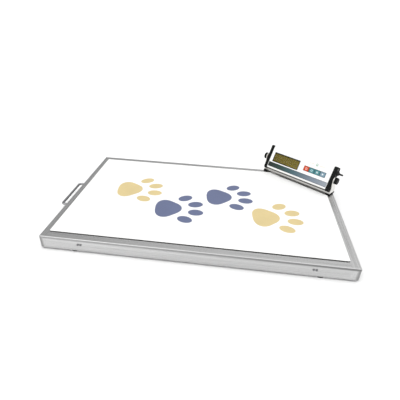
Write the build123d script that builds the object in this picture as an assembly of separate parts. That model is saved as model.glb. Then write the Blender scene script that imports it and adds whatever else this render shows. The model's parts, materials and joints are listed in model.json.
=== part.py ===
"""Low animal weighing scale: a steel platform on four load cells, and an indicator in a tilting bracket.

The model is built in a corner frame, in millimetres: the deck's front left corner is at x = 0, y = 0,
the floor is z = 0, +X runs along the front edge, +Y to the back and +Z up. Before writing, everything
is moved so that the origin is at the bottom centre of the whole object.
"""

from build123d import *
from math import cos, radians, sin
import os

# Platform
DECK_LENGTH = 900.0
DECK_WIDTH = 550.0
DECK_TOP = 46.0  # height of the steel deck above the floor
SKIRT_BOTTOM = 6.0
SHEET = 1.5  # thickness of the folded sheet
CORNER_R = 3.5
FOLD_R = 3.0
PAN_SPLIT = 4.0  # from the pan's edges to where its top plate and skirts meet, inside the folds
BORDER = 26.0  # steel that shows round the mat
BORDER_LEFT = 21.0
MAT_BACKING = 2.0
MAT_TOP = 1.0
MAT_CORNER_R = 3.0
MAT_CUT = 24.0  # from the indicator's axis to the mat's cut corner

# Frame under the deck
RAIL_WALL = 1.5
RAIL_WIDTH = 26.0
RAIL_BOTTOM = 23.5
RAIL_END = 20.0  # from the deck's edge to the end of a long rail
CROSS_WIDTH = 25.0
CROSS_BOTTOM = 32.5
CROSS_CENTRES = (72.0, 450.0, 828.0)
RAIL_R = 2.0
DECK_UNDER = DECK_TOP - SHEET

# Feet and load cells
FOOT_X = 100.0  # from the deck's end
FOOT_Y = 15.0  # from the deck's front or rear edge
PAD_R = 13.0
PAD_TOP = 4.5
PAD_SOCKET = 2.3
STUD_R = 4.0
STUD_TOP = 22.0
FLANGE_R = 6.0
STUD_HEX = 10.0
HEX_TOP = 6.6
RUNNING = 0.05  # radial clearance of a shaft in its hole
FACE_GAP = 0.05  # between flat faces that turn on each other
CELL_BOTTOM = 7.0
CELL_TOP = 20.0
CELL_WIDTH = 18.0
CELL_LENGTH = 100.0
CELL_NOSE = 11.0  # from the foot's axis to the free end
CELL_BOLTS = (62.0, 80.0)  # from the foot's axis
BOLT_R = 3.0
BOLT_HEAD_R = 5.0
BOLT_HEAD_SEAT = 11.5
BOLT_TOP = 32.0
FLEX_BORES = (25.0, 41.0)
FLEX_R = 4.0
SPACER_LENGTH = 36.0

# Skirt screws, a pair beside each foot
SCREW_OFFSETS = (15.0, 23.0)  # from the foot's axis, inboard
SCREW_Z = 28.0
SCREW_R = 2.0
SCREW_HEAD_R = 3.5
SCREW_HEAD = 1.8

# Carrying handle
HANDLE_Y = 273.5
HANDLE_SPAN = 141.0
HANDLE_REACH = 29.5  # from the skirt to the bar's axis
HANDLE_Z = 26.0
HANDLE_R = 4.0
HANDLE_BEND = 8.0
HANDLE_TAIL = 13.0
HANDLE_NUT = 6.5

# Junction box under the deck
BOX_X = 620.0
BOX_Y = 275.0
BOX_LENGTH = 90.0
BOX_WIDTH = 72.0
BOX_BOTTOM = 20.5
BOX_WALL = 2.0
BOARD_TOP = DECK_UNDER - BOX_WALL - 3.0  # upper side of the summing board
LID = 2.0
LEAD_R = 2.0
LEAD_Z = 29.5
LEAD_Y = 18.0  # from the box's middle to a lead
LEAD_BEND = 25.0
LEAD_AT = 71.0  # from the foot's axis to where the lead leaves its load cell
GLAND_THREAD_R = 6.0
REAR_GLAND_X = BOX_X
REAR_GLAND_Z = 14.5
CORD_R = 2.25  # bore for the cord to the indicator
CORD_STOP = 2.0  # how far the cord's bore runs in from the skirt's outer face
BOARD = 1.6

# Indicator: its axis, and its case in a local frame of x along the axis, y to the back, z up the face
PIVOT_X = 779.7
PIVOT_Y = 477.1
PIVOT_RISE = 55.5  # above the deck
YAW = -36.7
TILT = 28.0  # the face leans back from upright
CASE_HALF = 123.4
CAP_END = 136.4
CAP_PROUD = 0.8
CASE_WALL = 2.2
CASE_SPLIT = 3.0
FACE_Y = -9.5
PANEL = 0.5
PANEL_HALF = 121.5
PANEL_LOW = -36.5
PANEL_HIGH = 42.0
WINDOW = (-111.0, -1.0, -13.0, 24.0)  # left, right, bottom, top
KEY_PITCH = 21.6
KEY_FIRST = 30.3
KEY_CENTRE_Z = 4.5
KEY_WIDTH = 21.0
KEY_HEIGHT = 18.4
KEY_FRONT = -10.6
KEY_GAP = 0.3
KEY_STEM_END = -5.0
BOARD_Y = 0.0
BOARD_POSTS = ((-105.0, 30.0), (105.0, 30.0), (8.0, -15.5), (105.0, -15.5))
BATTERY_R = 7.1
BATTERY_LENGTH = 50.5
BATTERY_Y = 2.6
BATTERY_Z = -27.4
CRADLE_TOP = -33.5
DOOR_HALF = 104.0
DOOR_LOW = -35.2
DOOR_HIGH = -19.6
BOOT_Y = 8.0  # the lead boot stands out sideways from the right cap, above the bracket's arm
BOOT_Z = 25.5
BOOT_LENGTH = 19.5
BOOT_NECK = 4.5
BOOT_ROOT_R = 8.8
BOOT_TIP_R = 2.9
CAP_WALL = 3.0  # end wall of a cap
CAP_SCREW_Y = -1.0
CAP_SCREW_Z = (38.5, -38.5)
CAP_SCREW_R = 1.5
KEYS = ("key_power", "key_tare", "key_hold", "key_mode")

# Bracket and knobs
STRIP = 2.5
STRIP_HALF = 16.0
ARM_IN = 138.0
ARM_OUT = ARM_IN + STRIP
ARM_TOP_R = 13.0
STAND_FOOT = 5.0
STAND_FOOT_INNER = 122.0
STAND_FOOT_OUTER = 141.0
STAND_FOOT_HALF = 20.0
WALL_HOLE_X = 60.0
WALL_HOLE_R = 2.75
KNOB_R = 12.0
KNOB_LENGTH = 10.0
KNOB_WASHER = 1.0
PIVOT_STUD_R = 3.0
INSERT_R = 4.5
INSERT_START = 126.0


def block(x0, x1, y0, y1, z0, z1):
    """A box from its lowest corner to its highest."""
    return Pos(x0, y0, z0) * Box(x1 - x0, y1 - y0, z1 - z0, align=(Align.MIN, Align.MIN, Align.MIN))


def post(x, y, z0, z1, r):
    """An upright cylinder."""
    return Pos(x, y, z0) * Cylinder(r, z1 - z0, align=(Align.CENTER, Align.CENTER, Align.MIN))


def rod_x(x0, x1, y, z, r):
    """A cylinder along X."""
    return Pos(x0, y, z) * Rot(0, 90, 0) * Cylinder(r, x1 - x0, align=(Align.CENTER, Align.CENTER, Align.MIN))


def rod_y(x, y0, y1, z, r):
    """A cylinder along Y."""
    cylinder = Cylinder(r, y1 - y0, align=(Align.CENTER, Align.CENTER, Align.MIN))
    return Pos(x, y0, z) * Rot(-90, 0, 0) * cylinder


def hexagon(across_flats, height):
    """A hexagonal prism that stands on the XY plane."""
    return extrude(RegularPolygon(across_flats / 2, 6, major_radius=False), height)


def rounded_block(x0, x1, y0, y1, z0, z1, r):
    """A box whose upright edges are rounded."""
    return fillet(block(x0, x1, y0, y1, z0, z1).edges().filter_by(Axis.Z), r)


def group(pieces):
    """Several separate solids in one node."""
    return Compound([solid for piece in pieces for solid in piece.solids()])


# ---- Corners of the platform: name, foot's x, foot's y, inboard direction in x, inboard direction in y

CORNERS = (
    ("front_left", FOOT_X, FOOT_Y, 1, 1),
    ("front_right", DECK_LENGTH - FOOT_X, FOOT_Y, -1, 1),
    ("rear_left", FOOT_X, DECK_WIDTH - FOOT_Y, 1, -1),
    ("rear_right", DECK_LENGTH - FOOT_X, DECK_WIDTH - FOOT_Y, -1, -1),
)
SCREWS = [(x + sx * d, sy) for _, x, _, sx, sy in CORNERS for d in SCREW_OFFSETS]
BOLTS = [(x + sx * d, y) for _, x, y, sx, _ in CORNERS for d in CELL_BOLTS]


def skirt_holes(r):
    """Cutters for the screws in the front and rear skirts."""
    return [
        rod_y(x, -1 if sy > 0 else DECK_WIDTH - 6, 6 if sy > 0 else DECK_WIDTH + 1, SCREW_Z, r)
        for x, sy in SCREWS
    ]


def deck_pan():
    """The folded and welded pan, as five solids that meet just inside its folds: top plate and skirts."""
    outer = rounded_block(0, DECK_LENGTH, 0, DECK_WIDTH, SKIRT_BOTTOM, DECK_TOP, CORNER_R)
    outer = fillet(outer.edges().group_by(Axis.Z)[-1], FOLD_R)
    inner = rounded_block(
        SHEET, DECK_LENGTH - SHEET, SHEET, DECK_WIDTH - SHEET, SKIRT_BOTTOM - 1, DECK_UNDER, CORNER_R - SHEET
    )
    inner = fillet(inner.edges().group_by(Axis.Z)[-1], FOLD_R - SHEET)
    pan = outer - inner
    for hole in skirt_holes(SCREW_R + RUNNING):
        pan -= hole
    for side in (-1, 1):
        pan -= rod_x(-1, SHEET + 1, HANDLE_Y + side * HANDLE_SPAN / 2, HANDLE_Z, HANDLE_R + RUNNING)
    gland_hole = rod_y(
        REAR_GLAND_X, DECK_WIDTH - 3, DECK_WIDTH + 1, REAR_GLAND_Z, GLAND_THREAD_R + RUNNING
    )
    pan -= gland_hole
    right, back = DECK_LENGTH - PAN_SPLIT, DECK_WIDTH - PAN_SPLIT
    top_plate = (PAN_SPLIT, right, PAN_SPLIT, back)
    front_skirt = (0, DECK_LENGTH, 0, PAN_SPLIT)
    rear_skirt = (0, DECK_LENGTH, back, DECK_WIDTH)
    left_skirt = (0, PAN_SPLIT, PAN_SPLIT, back)
    right_skirt = (right, DECK_LENGTH, PAN_SPLIT, back)
    regions = (top_plate, front_skirt, rear_skirt, left_skirt, right_skirt)
    return group([pan & block(*region, SKIRT_BOTTOM, DECK_TOP) for region in regions])


def mat_outline():
    """The mat's outline, with the rear right corner cut along the indicator's bracket."""
    right = DECK_LENGTH - BORDER
    back = DECK_WIDTH - BORDER
    across = (sin(radians(-YAW)), cos(radians(-YAW)))
    cut_y = PIVOT_Y - (MAT_CUT + (right - PIVOT_X) * across[0]) / across[1]
    cut_x = PIVOT_X - (MAT_CUT + (back - PIVOT_Y) * across[1]) / across[0]
    corners = [(BORDER_LEFT, BORDER), (right, BORDER), (right, cut_y), (cut_x, back), (BORDER_LEFT, back)]
    face = make_face(Polyline(*corners, close=True))
    return fillet(face.vertices(), MAT_CORNER_R)


def mat_backing():
    return extrude(Pos(0, 0, DECK_TOP) * mat_outline(), MAT_BACKING)


def mat_top():
    return extrude(Pos(0, 0, DECK_TOP + MAT_BACKING) * mat_outline(), MAT_TOP)


def tube_section(width, height):
    return RectangleRounded(width, height, RAIL_R) - RectangleRounded(
        width - 2 * RAIL_WALL, height - 2 * RAIL_WALL, RAIL_R - RAIL_WALL
    )


def long_rail(rear):
    """Rectangular tube behind the front or rear skirt, which the load cells hang from."""
    y = DECK_WIDTH - SHEET - RAIL_WIDTH / 2 if rear else SHEET + RAIL_WIDTH / 2
    height = DECK_UNDER - RAIL_BOTTOM
    section = Plane.YZ * tube_section(RAIL_WIDTH, height)
    rail = Pos(RAIL_END, y, RAIL_BOTTOM + height / 2) * extrude(section, DECK_LENGTH - 2 * RAIL_END)
    for hole in skirt_holes(SCREW_R + RUNNING):
        rail -= hole
    for x, y_bolt in BOLTS:
        rail -= post(x, y_bolt, RAIL_BOTTOM - 1, RAIL_BOTTOM + RAIL_WALL + 1, BOLT_R + RUNNING)
    return rail


def cross_rails():
    """Three flat tubes between the long rails."""
    height = DECK_UNDER - CROSS_BOTTOM
    start = SHEET + RAIL_WIDTH
    rail = Rot(-90, 0, 0) * extrude(tube_section(CROSS_WIDTH, height), DECK_WIDTH - 2 * start)
    return group([Pos(x, start, CROSS_BOTTOM + height / 2) * rail for x in CROSS_CENTRES])


def skirt_screws():
    """Pan head screws that hold the skirts to the long rails."""
    head = fillet(Cylinder(SCREW_HEAD_R, SCREW_HEAD, align=(Align.CENTER, Align.CENTER, Align.MIN))
                  .edges().group_by(Axis.Z)[-1], SCREW_HEAD * 0.6)
    recess = Pos(0, 0, SCREW_HEAD - 1.0) * (Box(3.6, 0.8, 2.2) + Box(0.8, 3.6, 2.2))
    shank = Pos(0, 0, -5) * Cylinder(SCREW_R, 5, align=(Align.CENTER, Align.CENTER, Align.MIN))
    screw = head - recess + shank
    return group([
        Pos(x, 0 if sy > 0 else DECK_WIDTH, SCREW_Z) * Rot(90 * sy, 0, 0) * screw for x, sy in SCREWS
    ])


def load_cell(x, y, sx):
    """Bending beam: the foot screws into its free end, and two bolts hold its other end."""
    start, end = sorted((x - sx * CELL_NOSE, x + sx * (CELL_LENGTH - CELL_NOSE)))
    half = CELL_WIDTH / 2
    beam = block(start, end, y - half, y + half, CELL_BOTTOM, CELL_TOP)
    beam = chamfer(beam.edges().filter_by(Axis.Z), 1.0)
    middle = (CELL_BOTTOM + CELL_TOP) / 2
    for at in FLEX_BORES:
        beam -= rod_y(x + sx * at, y - half - 1, y + half + 1, middle, FLEX_R)
    slot = sorted(x + sx * at for at in FLEX_BORES)
    beam -= block(slot[0], slot[1], y - half - 1, y + half + 1, middle - 1, middle + 1)
    beam -= post(x, y, CELL_BOTTOM - 1, CELL_TOP + 1, STUD_R + RUNNING)
    for at in CELL_BOLTS:
        beam -= post(x + sx * at, y, CELL_BOTTOM - 1, CELL_TOP + 1, BOLT_R + RUNNING)
        beam -= post(x + sx * at, y, CELL_BOTTOM - 1, BOLT_HEAD_SEAT, BOLT_HEAD_R + 0.3)
    return beam


def load_cell_spacers():
    """Plates that hold each load cell off its rail, so that the beam can bend."""
    spacers = []
    for _, x, y, sx, _ in CORNERS:
        far = x + sx * (CELL_LENGTH - CELL_NOSE)
        start, end = sorted((far, far - sx * SPACER_LENGTH))
        plate = block(start, end, y - CELL_WIDTH / 2, y + CELL_WIDTH / 2, CELL_TOP, RAIL_BOTTOM)
        for at in CELL_BOLTS:
            plate -= post(x + sx * at, y, CELL_TOP - 1, RAIL_BOTTOM + 1, BOLT_R + RUNNING)
        spacers.append(plate)
    return group(spacers)


def load_cell_bolts():
    """Socket head bolts through the load cells and spacers, with their nuts inside the rails."""
    head_bottom = BOLT_HEAD_SEAT - 4.2
    bolt = post(0, 0, head_bottom, BOLT_HEAD_SEAT, BOLT_HEAD_R) + post(0, 0, BOLT_HEAD_SEAT, BOLT_TOP, BOLT_R)
    bolt -= Pos(0, 0, head_bottom) * hexagon(5.0, 2.5)
    nut_bottom = RAIL_BOTTOM + RAIL_WALL
    nut = Pos(0, 0, nut_bottom) * hexagon(10.0, 5.0)
    nut -= post(0, 0, nut_bottom - 1, nut_bottom + 6, BOLT_R + RUNNING)
    return group([Pos(x, y, 0) * piece for x, y in BOLTS for piece in (bolt, nut)])


def foot_pad(x, y):
    """Rubber pad with a socket for the stud's flange."""
    pad = fillet(post(0, 0, 0, PAD_TOP, PAD_R).edges().group_by(Axis.Z)[-1], 1.2)
    pad -= post(0, 0, PAD_SOCKET, PAD_TOP + 1, FLANGE_R + 0.1)
    return Pos(x, y, 0) * pad


def foot_stud(x, y):
    """Threaded stud with a flange that turns in the pad and a hexagon for a spanner."""
    stud = post(0, 0, PAD_SOCKET, PAD_TOP, FLANGE_R)
    stud += Pos(0, 0, PAD_TOP) * hexagon(STUD_HEX, HEX_TOP - PAD_TOP)
    stud += post(0, 0, HEX_TOP, STUD_TOP, STUD_R)
    return Pos(x, y, 0) * chamfer(stud.edges().group_by(Axis.Z)[-1], 0.8)


def carry_handle():
    """Bent rod through the left skirt."""
    low, high = HANDLE_Y - HANDLE_SPAN / 2, HANDLE_Y + HANDLE_SPAN / 2
    points = [
        (HANDLE_TAIL, low, HANDLE_Z),
        (-HANDLE_REACH, low, HANDLE_Z),
        (-HANDLE_REACH, high, HANDLE_Z),
        (HANDLE_TAIL, high, HANDLE_Z),
    ]
    path = FilletPolyline(*points, radius=HANDLE_BEND)
    return sweep(Plane(path @ 0, z_dir=path % 0) * Circle(HANDLE_R), path)


def handle_nuts():
    """Nuts on the handle's two ends, inside the skirt."""
    nut = hexagon(13.0, HANDLE_NUT) - post(0, 0, -1, HANDLE_NUT + 1, HANDLE_R + RUNNING)
    ends = (HANDLE_Y - HANDLE_SPAN / 2, HANDLE_Y + HANDLE_SPAN / 2)
    return group([Pos(SHEET, y, HANDLE_Z) * Rot(0, 90, 0) * nut for y in ends])


# ---- Junction box, leads and glands

def box_limits():
    return BOX_X - BOX_LENGTH / 2, BOX_X + BOX_LENGTH / 2, BOX_Y - BOX_WIDTH / 2, BOX_Y + BOX_WIDTH / 2


def lid_screw_places():
    x0, x1, y0, y1 = box_limits()
    inset = BOX_WALL + 3.0
    return [(x, y) for x in (x0 + inset, x1 - inset) for y in (y0 + inset, y1 - inset)]


def lead_ports():
    """Where a lead enters the box: the wall's x, the lead's y and the outward direction."""
    x0, x1, _, _ = box_limits()
    return [(x0 if sx > 0 else x1, BOX_Y - sy * LEAD_Y, -sx) for _, _, _, sx, sy in CORNERS]


def board_size():
    return BOX_LENGTH - 26.0, BOX_WIDTH - 16.0


def junction_box():
    """Box whose mouth faces down, fixed under the deck."""
    x0, x1, y0, y1 = box_limits()
    box = rounded_block(x0, x1, y0, y1, BOX_BOTTOM, DECK_UNDER, 4.0)
    box -= rounded_block(
        x0 + BOX_WALL, x1 - BOX_WALL, y0 + BOX_WALL, y1 - BOX_WALL, BOX_BOTTOM - 1, DECK_UNDER - BOX_WALL, 2.0
    )
    for x, y in lid_screw_places():
        box += post(x, y, BOX_BOTTOM, DECK_UNDER - BOX_WALL, 3.4)
    for x, y in lid_screw_places():
        box -= post(x, y, BOX_BOTTOM - 1, BOX_BOTTOM + 9, 1.5 + RUNNING)
    length, width = board_size()
    for side_x in (-1, 1):
        for side_y in (-1, 1):
            x = BOX_X + side_x * (length / 2 - 4)
            box += post(x, BOX_Y + side_y * (width / 2 - 4), BOARD_TOP, DECK_UNDER - BOX_WALL, 3.0)
    for x, y, _ in lead_ports():
        box -= rod_x(x - 3, x + 3, y, LEAD_Z, GLAND_THREAD_R + RUNNING)
    box -= rod_y(BOX_X, y1 - 3, y1 + 1, LEAD_Z, GLAND_THREAD_R + RUNNING)
    return box


def junction_lid():
    x0, x1, y0, y1 = box_limits()
    lid = rounded_block(x0, x1, y0, y1, BOX_BOTTOM - LID, BOX_BOTTOM, 4.0)
    for x, y in lid_screw_places():
        lid -= post(x, y, BOX_BOTTOM - LID - 1, BOX_BOTTOM + 1, 1.5 + RUNNING)
    return lid


def junction_lid_screws():
    bottom = BOX_BOTTOM - LID
    screw = post(0, 0, bottom - 1.6, bottom, 2.8) + post(0, 0, bottom, bottom + 9, 1.5)
    screw -= Pos(0, 0, bottom - 1.6) * (Box(3.0, 0.7, 1.4) + Box(0.7, 3.0, 1.4))
    return group([Pos(x, y, 0) * screw for x, y in lid_screw_places()])


def summing_board():
    """Circuit board in the junction box, with a screw terminal block for each lead."""
    top = BOARD_TOP
    length, width = board_size()
    x0, y0 = BOX_X - length / 2, BOX_Y - width / 2
    pieces = [block(x0, x0 + length, y0, y0 + width, top - BOARD, top)]
    terminal = block(0, 12, 0, 8, top - BOARD - 8, top - BOARD)
    for n in range(3):
        terminal -= post(2.5 + 3.5 * n, 4, top - BOARD - 9, top - BOARD - 6.5, 1.2)
    places = [(x0 + 3 + 23 * n, y0 + 9 + 30 * side) for n in range(3) for side in (0, 1)]
    pieces += [Pos(x, y, 0) * terminal for x, y in places]
    return group(pieces)


def gland(wall):
    """Cable gland along +Z with its lock nut: the wall's outer face is at z = 0."""
    body = hexagon(15.0, 5.0) + post(0, 0, -wall - 5.0, 0, GLAND_THREAD_R)
    profile = Polyline((0, 5), (6.9, 5), (6.9, 10.5), (4.6, 14), (0, 14), close=True)
    dome = revolve(Plane.XZ * make_face(profile), Axis.Z)
    body = body + dome - post(0, 0, -wall - 6, 15, LEAD_R + RUNNING)
    lock_nut = Pos(0, 0, -wall - 3.0) * hexagon(15.0, 3.0)
    lock_nut -= post(0, 0, -wall - 4, -wall + 1, GLAND_THREAD_R + RUNNING)
    return [body, lock_nut]


def box_glands():
    """Glands of the junction box."""
    pieces = []
    for x, y, out in lead_ports():
        pieces += [Pos(x, y, LEAD_Z) * Rot(0, 90 * out, 0) * p for p in gland(BOX_WALL)]
    box_back = Pos(BOX_X, BOX_Y + BOX_WIDTH / 2, LEAD_Z) * Rot(-90, 0, 0)
    pieces += [box_back * p for p in gland(BOX_WALL)]
    return group(pieces)


def rear_gland():
    """Gland in the rear skirt, where the cord to the indicator leaves."""
    skirt = Pos(REAR_GLAND_X, DECK_WIDTH, REAR_GLAND_Z) * Rot(-90, 0, 0)
    body, lock_nut = gland(SHEET)
    body -= post(0, 0, -CORD_STOP, 15, CORD_R)
    return group([skirt * body, skirt * lock_nut])


def lead_path(x, y, sx, sy, port):
    """Centreline from a load cell's inner side, up under the deck and along to the junction box."""
    start_x = x + sx * LEAD_AT
    side = y + sy * CELL_WIDTH / 2
    middle = (CELL_BOTTOM + CELL_TOP) / 2
    port_x, port_y, out = port
    points = [
        (start_x, side, middle),
        (start_x, side + sy * 18, middle),
        (start_x, side + sy * 50, LEAD_Z),
        (start_x, port_y, LEAD_Z),
        (port_x - out * 9, port_y, LEAD_Z),
    ]
    return FilletPolyline(*points, radius=LEAD_BEND)


def lead(path):
    return sweep(Plane(path @ 0, z_dir=path % 0) * Circle(LEAD_R), path)


def load_cell_leads():
    ports = lead_ports()
    return group([lead(lead_path(x, y, sx, sy, port)) for (_, x, y, sx, sy), port in zip(CORNERS, ports)])


def output_lead():
    """Lead from the junction box to the gland in the rear skirt."""
    box_back = BOX_Y + BOX_WIDTH / 2
    inner_end = DECK_WIDTH - CORD_STOP - 0.2
    points = [
        (BOX_X, box_back - 9, LEAD_Z),
        (BOX_X, box_back + 90, LEAD_Z),
        (BOX_X, box_back + 130, REAR_GLAND_Z),
        (BOX_X, inner_end, REAR_GLAND_Z),
    ]
    return lead(FilletPolyline(*points, radius=LEAD_BEND))


def lead_clips():
    """Saddle clips that hold the two left leads under the middle cross rail."""
    saddle = block(-4, 4, -7, 7, LEAD_Z - LEAD_R - 1.2, CROSS_BOTTOM)
    saddle -= block(-5, 5, -LEAD_R - RUNNING, LEAD_R + RUNNING, LEAD_Z, CROSS_BOTTOM + 1)
    saddle -= rod_x(-5, 5, 0, LEAD_Z, LEAD_R + RUNNING)
    return group([Pos(CROSS_CENTRES[1], BOX_Y + side * LEAD_Y, 0) * saddle for side in (-1, 1)])


# ---- Indicator, in its local frame

PIVOT = Pos(PIVOT_X, PIVOT_Y, DECK_TOP + PIVOT_RISE)
CASE_POSE = PIVOT * Rot(0, 0, YAW) * Rot(-TILT, 0, 0)
STAND_POSE = Pos(PIVOT_X, PIVOT_Y, DECK_TOP) * Rot(0, 0, YAW)


def case_outline(grow):
    """Side profile of the case in the YZ plane, offset by grow."""
    points = [
        (FACE_Y, -40.0),
        (FACE_Y, 43.0),
        (FACE_Y + 3.0, 46.0),
        (13.0, 46.0),
        (18.0, 41.0),
        (12.0, -38.0),
        (8.0, -45.0),
        (-4.0, -45.0),
    ]
    return offset(make_face(Polyline(*points, close=True)), grow, kind=Kind.INTERSECTION)


def extruded(face, x0, x1):
    """A YZ profile extruded along X."""
    return Pos(x0, 0, 0) * extrude(Plane.YZ * face, x1 - x0)


def case_shell():
    """The whole casing between the end caps, before it is parted into front and back."""
    shell = extruded(case_outline(0), -CASE_HALF, CASE_HALF)
    return shell - extruded(case_outline(-CASE_WALL), -CASE_HALF - 1, CASE_HALF + 1)


def key_slot(y0, y1):
    left = KEY_FIRST - KEY_PITCH / 2
    half = KEY_HEIGHT / 2 + KEY_GAP
    return block(left, left + 4 * KEY_PITCH, y0, y1, KEY_CENTRE_Z - half, KEY_CENTRE_Z + half)


def case_front():
    """Front shell with its openings for the display and keys, and its channels for the end cap screws."""
    front = case_shell() & block(-150, 150, -30, CASE_SPLIT, -60, 60)
    left, right, low, high = WINDOW
    front -= block(left, right, FACE_Y - 1, FACE_Y + CASE_WALL + 1, low, high)
    front -= key_slot(FACE_Y - 1, FACE_Y + CASE_WALL + 1)
    for z in CAP_SCREW_Z:
        toward = 1 if z > 0 else -1
        rib = rod_x(-CASE_HALF, CASE_HALF, CAP_SCREW_Y, z, 3.4)
        rib += block(-CASE_HALF, CASE_HALF, CAP_SCREW_Y - 1.5, CAP_SCREW_Y + 1.5,
                     *sorted((z, toward * 44.0)))
        front += rib
    for z in CAP_SCREW_Z:
        for side in (-1, 1):
            ends = sorted((side * (CASE_HALF + 1), side * (CASE_HALF - 16)))
            front -= rod_x(*ends, CAP_SCREW_Y, z, CAP_SCREW_R + RUNNING)
    for x, z in BOARD_POSTS:
        front += rod_y(x, FACE_Y + CASE_WALL, BOARD_Y, z, 2.6)
        front -= rod_y(x, BOARD_Y - 5.5, BOARD_Y + 1, z, 1.2 + RUNNING)
    return CASE_POSE * front


def door_block(gap):
    return block(-DOOR_HALF - gap, DOOR_HALF + gap, 8, 30, DOOR_LOW - gap, DOOR_HIGH + gap)


def case_back():
    """Rear cover, with the battery opening and the ribs that the row of batteries lies on."""
    back = case_shell() & block(-150, 150, CASE_SPLIT, 40, -60, 60)
    back -= door_block(0.2)
    inside = extruded(case_outline(-CASE_WALL), -110, 110)
    for x in (-103.6, -75.8, -25.3, 25.3, 75.8, 102.0):
        back += block(x, x + 1.6, CASE_SPLIT, 20, -44, CRADLE_TOP) & inside
    back -= rod_x(-101.5, 101.8, BATTERY_Y, BATTERY_Z, BATTERY_R + 0.1)
    return CASE_POSE * back


def battery_door():
    return CASE_POSE * (case_shell() & door_block(0))


def batteries():
    """Four cylindrical cells end to end."""
    cell = rod_x(0, BATTERY_LENGTH - 1.4, BATTERY_Y, BATTERY_Z, BATTERY_R)
    cell = fillet(cell.edges(), 0.8)
    cell += rod_x(BATTERY_LENGTH - 1.4, BATTERY_LENGTH - 0.1, BATTERY_Y, BATTERY_Z, 2.7)
    return group([CASE_POSE * Pos(BATTERY_LENGTH * n, 0, 0) * cell for n in (-2, -1, 0, 1)])


def face_panel():
    """Thin printed panel on the front, open at the display and the keys."""
    panel = block(-PANEL_HALF, PANEL_HALF, FACE_Y - PANEL, FACE_Y, PANEL_LOW, PANEL_HIGH)
    panel = fillet(panel.edges().filter_by(Axis.Y), 2.5)
    left, right, low, high = WINDOW
    panel -= block(left, right, FACE_Y - 1, FACE_Y + 1, low, high)
    panel -= key_slot(FACE_Y - 1, FACE_Y + 1)
    return CASE_POSE * panel


def display_window():
    left, right, low, high = WINDOW
    gap = 0.1
    back = FACE_Y + CASE_WALL
    return CASE_POSE * block(left + gap, right - gap, FACE_Y - 0.2, back, low + gap, high - gap)


def display_module():
    """Liquid crystal cell in its frame, behind the window."""
    left, right, low, high = WINDOW
    front = FACE_Y + CASE_WALL
    frame = block(left - 3, right + 3, front, BOARD_Y - 0.1, low - 3, high + 3)
    frame -= block(left + 4, right - 4, front - 1, front + 0.8, low + 4, high - 4)
    return CASE_POSE * frame


def main_board():
    """Circuit board with its processor, converter and connectors."""
    board = block(-117, 112, BOARD_Y, BOARD_Y + BOARD, -19, 33)
    for x, z in BOARD_POSTS:
        board -= rod_y(x, BOARD_Y - 1, BOARD_Y + BOARD + 1, z, 1.2 + RUNNING)
    chips = [
        block(20, 34, BOARD_Y + BOARD, BOARD_Y + BOARD + 2.4, 0, 14),
        block(50, 60, BOARD_Y + BOARD, BOARD_Y + BOARD + 2.0, 8, 14),
        block(80, 96, BOARD_Y + BOARD, BOARD_Y + BOARD + 6.0, -14, -8),
        block(-90, -60, BOARD_Y + BOARD, BOARD_Y + BOARD + 5.0, 20, 26),
    ]
    return group([CASE_POSE * piece for piece in [board] + chips])


def board_screws():
    """Screws that hold the main board to the front shell's posts."""
    back = BOARD_Y + BOARD
    screw = rod_y(0, BOARD_Y - 5.0, back, 0, 1.2) + rod_y(0, back, back + 1.6, 0, 2.4)
    screw -= block(-1.3, 1.3, back + 0.8, back + 2, -0.3, 0.3)
    return group([CASE_POSE * Pos(x, 0, z) * screw for x, z in BOARD_POSTS])


def key_centre(n):
    return KEY_FIRST + KEY_PITCH * n


def key_switches():
    """Tactile switches under the keys."""
    pieces = []
    for n in range(4):
        x = key_centre(n)
        switch = block(x - 3, x + 3, BOARD_Y - 3.1, BOARD_Y, KEY_CENTRE_Z - 3, KEY_CENTRE_Z + 3)
        switch += rod_y(x, BOARD_Y - 4.1, BOARD_Y - 3.1, KEY_CENTRE_Z, 1.7)
        pieces.append(CASE_POSE * switch)
    return group(pieces)


def key(n):
    """Key cap with a flange behind the shell and a stem towards its switch."""
    x, z = key_centre(n), KEY_CENTRE_Z
    half = KEY_WIDTH / 2
    inside = FACE_Y + CASE_WALL
    cap = block(x - half, x + half, KEY_FRONT, inside, z - KEY_HEIGHT / 2, z + KEY_HEIGHT / 2)
    cap = fillet(cap.edges().group_by(Axis.Y)[0], 0.5)
    cap += block(x - half, x + half, inside, inside + 1.0, z - 10.6, z + 10.6)
    cap += rod_y(x, inside + 1.0, KEY_STEM_END, z, 2.0)
    return CASE_POSE * cap


def end_cap(side):
    """Moulded cap that closes one end of the case and holds the brass insert of the pivot."""
    cap = extruded(case_outline(CAP_PROUD), CASE_HALF, CAP_END)
    cap = fillet(cap.edges().group_by(Axis.X)[-1], 1.2)
    cap -= extruded(case_outline(-CASE_WALL), CASE_HALF - 1, CAP_END - CAP_WALL)
    cap += rod_x(CASE_HALF + 1.2, CAP_END - 2.0, 0, 0, 8.0)
    cap -= rod_x(INSERT_START, CAP_END + 1, 0, 0, INSERT_R)
    for z in CAP_SCREW_Z:
        cap += rod_x(CASE_HALF, CAP_END - 2.0, CAP_SCREW_Y, z, 4.0)
        cap -= rod_x(CASE_HALF - 1, CAP_END + 1, CAP_SCREW_Y, z, CAP_SCREW_R + RUNNING)
        cap -= rod_x(CAP_END - 2.2, CAP_END + 1, CAP_SCREW_Y, z, 3.1)
    if side < 0:
        return CASE_POSE * mirror(cap, Plane.YZ)
    cap -= rod_x(CAP_END - CAP_WALL - 1, CAP_END + 1, BOOT_Y, BOOT_Z, BOOT_NECK)
    return CASE_POSE * cap


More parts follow.
